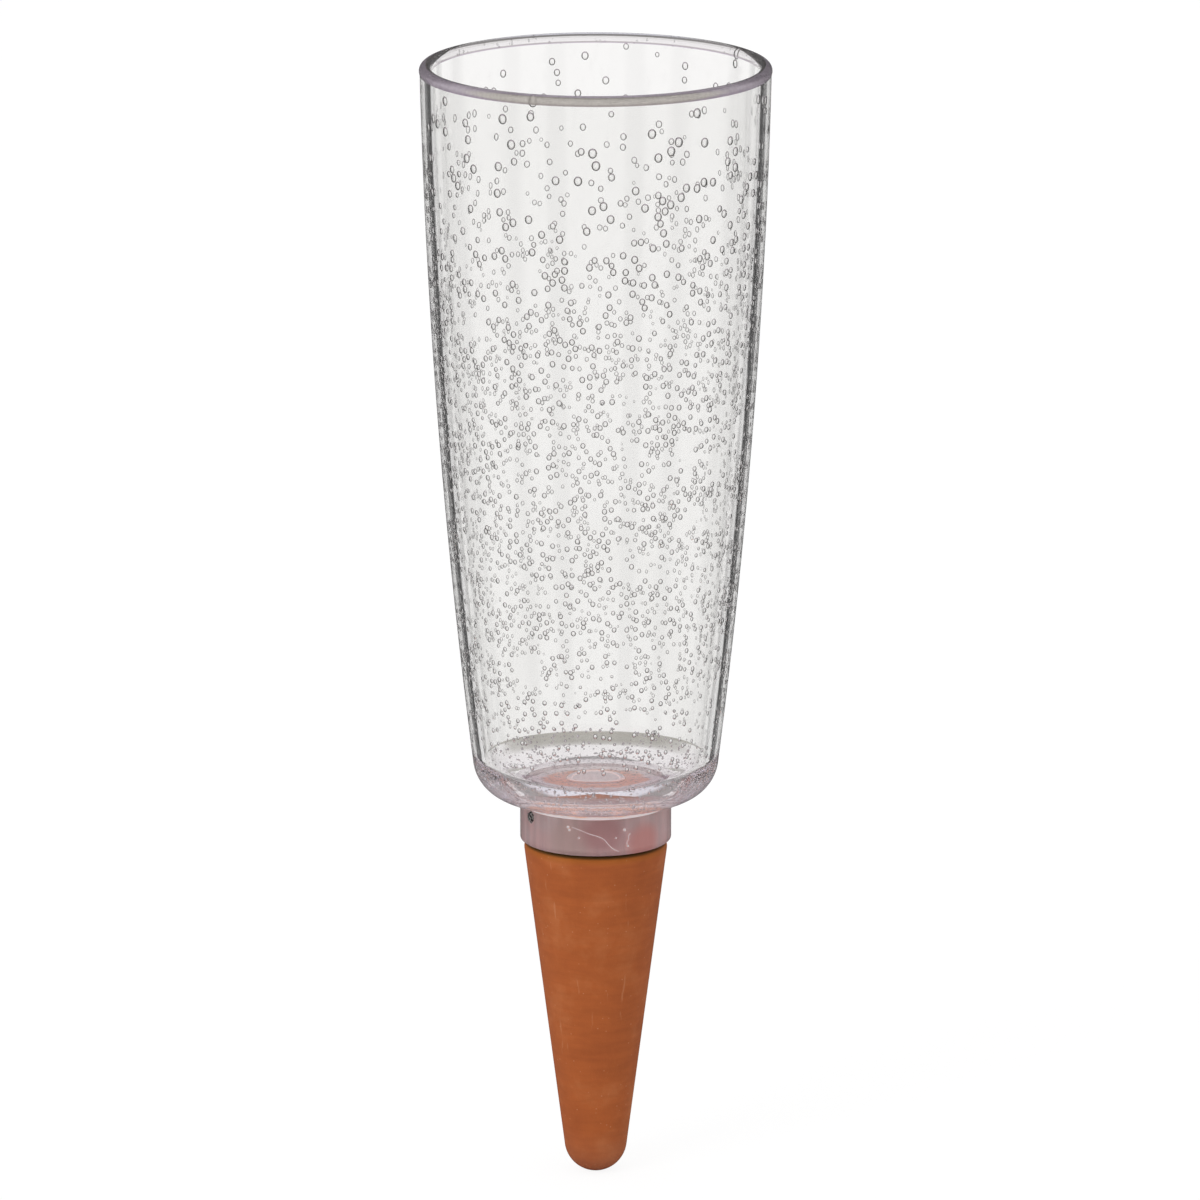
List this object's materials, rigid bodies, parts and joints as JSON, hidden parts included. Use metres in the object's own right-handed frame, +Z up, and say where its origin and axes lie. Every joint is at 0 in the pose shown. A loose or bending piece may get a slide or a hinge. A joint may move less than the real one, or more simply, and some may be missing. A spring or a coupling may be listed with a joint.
{
  "type": "self watering spike",
  "caption": "Tall clear tapered cup with a rounded foot and a round lip, on a clear collar that holds a hollow earthenware cone; pushed into potting soil, it waters the plant slowly.",
  "frame": {"origin": "on the axis at the collar's lower edge, where the spike meets the soil", "axes": "+Z up along the axis, from the cone's tip to the cup's lip; turned parts, so X and Y are free"},
  "size_m": [0.0941, 0.0942, 0.3068],
  "materials": {
    "clear_bubbled_plastic": "clear moulded styrene plastic with air bubbles in its wall",
    "clear_plastic": "clear moulded styrene plastic without bubbles",
    "earthenware": "unglazed, porous and matt",
    "hot_melt_adhesive": "milky and translucent, set in place"
  },
  "bodies": {
    "root": {"reservoir_cup": "clear_bubbled_plastic", "collar": "clear_plastic", "clay_cone": "earthenware", "adhesive_bed": "hot_melt_adhesive"}
  },
  "joints": []
}
